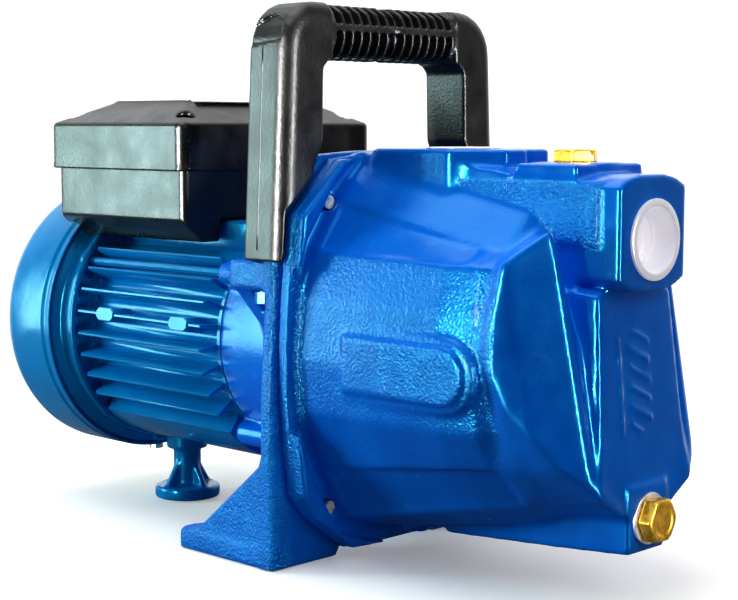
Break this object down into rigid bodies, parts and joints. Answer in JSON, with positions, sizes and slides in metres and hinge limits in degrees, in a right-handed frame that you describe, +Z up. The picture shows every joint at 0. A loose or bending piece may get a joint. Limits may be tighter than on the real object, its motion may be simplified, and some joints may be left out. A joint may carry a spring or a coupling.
{
  "type": "shallow well jet pump",
  "caption": "Self-priming jet pump with a cast casing, ejector, finned close-coupled motor, terminal box, carry handle and cast foot.",
  "frame": {"origin": "on the floor, at the middle of the overall length and width, under the shaft axis", "axes": "+X along the shaft towards the suction port, +Y towards the side with the cable gland and switch, +Z up"},
  "size_m": [0.4068, 0.164, 0.278],
  "materials": {
    "cast_blue": "glossy enamel over a cast skin",
    "frame_blue": "glossy enamel",
    "sheet_blue": "glossy enamel",
    "handle_plastic": "satin moulded",
    "box_plastic": "satin moulded",
    "fan_plastic": "moulded",
    "cap_plastic": "milky moulded",
    "brass": "machined",
    "washer_aluminium": "plain",
    "steel": "ground",
    "zinc": "zinc plated",
    "lamination": "stacked sheet, varnished",
    "copper": "varnished wire",
    "rubber": "moulded",
    "seal_ceramic": "lapped"
  },
  "bodies": {
    "pump": {"pump_casing": "cast_blue", "motor_bracket": "cast_blue", "motor_frame": "frame_blue", "fan_cover": "sheet_blue", "support_foot": "sheet_blue", "carry_handle": "handle_plastic", "terminal_box": "box_plastic", "terminal_lid": "box_plastic", "cable_gland": "box_plastic", "gland_nut": "box_plastic", "switch_body": "box_plastic", "venturi_tube": "fan_plastic", "diffuser": "fan_plastic", "terminal_block": "cap_plastic", "ejector_nozzle": "brass", "rear_shield": "washer_aluminium", "capacitor": "washer_aluminium", "front_bearing": "steel", "rear_bearing": "steel", "wave_washer": "steel", "casing_bolt_1": "zinc", "casing_bolt_2": "zinc", "casing_bolt_3": "zinc", "casing_bolt_4": "zinc", "tie_bolt_1": "zinc", "tie_bolt_2": "zinc", "tie_bolt_3": "zinc", "tie_bolt_4": "zinc", "lid_screw_1": "zinc", "lid_screw_2": "zinc", "lid_screw_3": "zinc", "lid_screw_4": "zinc", "cover_screw_1": "zinc", "cover_screw_2": "zinc", "cover_screw_3": "zinc", "handle_screw_1": "zinc", "handle_screw_2": "zinc", "foot_screw": "zinc", "stator_core": "lamination", "winding_front": "copper", "winding_rear": "copper", "casing_gasket": "rubber", "seal_stationary": "seal_ceramic"},
    "rotor": {"shaft": "steel", "rotor_core": "lamination", "water_slinger": "rubber", "cooling_fan": "fan_plastic", "fan_clip": "steel", "impeller": "brass", "impeller_nut": "steel", "seal_rotating": "rubber"},
    "priming_plug": {"priming_plug": "brass", "priming_plug_washer": "washer_aluminium"},
    "drain_plug": {"drain_plug": "brass", "drain_plug_washer": "washer_aluminium"},
    "suction_cap": {"suction_port_cap": "cap_plastic"},
    "discharge_cap": {"discharge_port_cap": "cap_plastic"},
    "rocker": {"switch_rocker": "box_plastic"}
  },
  "joints": [
    {"name": "rotor_spin", "type": "hinge", "parent": "pump", "child": "rotor", "pos_m": [-0.0051, 0, 0.106], "axis": [1, 0, 0], "continuous": true},
    {"name": "priming_plug_out", "type": "slide", "parent": "pump", "child": "priming_plug", "axis": [0, 0, 1], "range_m": [0, 0.016]},
    {"name": "drain_plug_out", "type": "slide", "parent": "pump", "child": "drain_plug", "axis": [1, 0, 0], "range_m": [0, 0.016]},
    {"name": "suction_cap_out", "type": "slide", "parent": "pump", "child": "suction_cap", "axis": [1, 0, 0], "range_m": [0, 0.018]},
    {"name": "discharge_cap_out", "type": "slide", "parent": "pump", "child": "discharge_cap", "axis": [0, 0, 1], "range_m": [0, 0.018]},
    {"name": "rocker_tilt", "type": "hinge", "parent": "pump", "child": "rocker", "pos_m": [-0.1231, 0.0702, 0.183], "axis": [0, 0, 1], "range_deg": [-14, 0]}
  ]
}
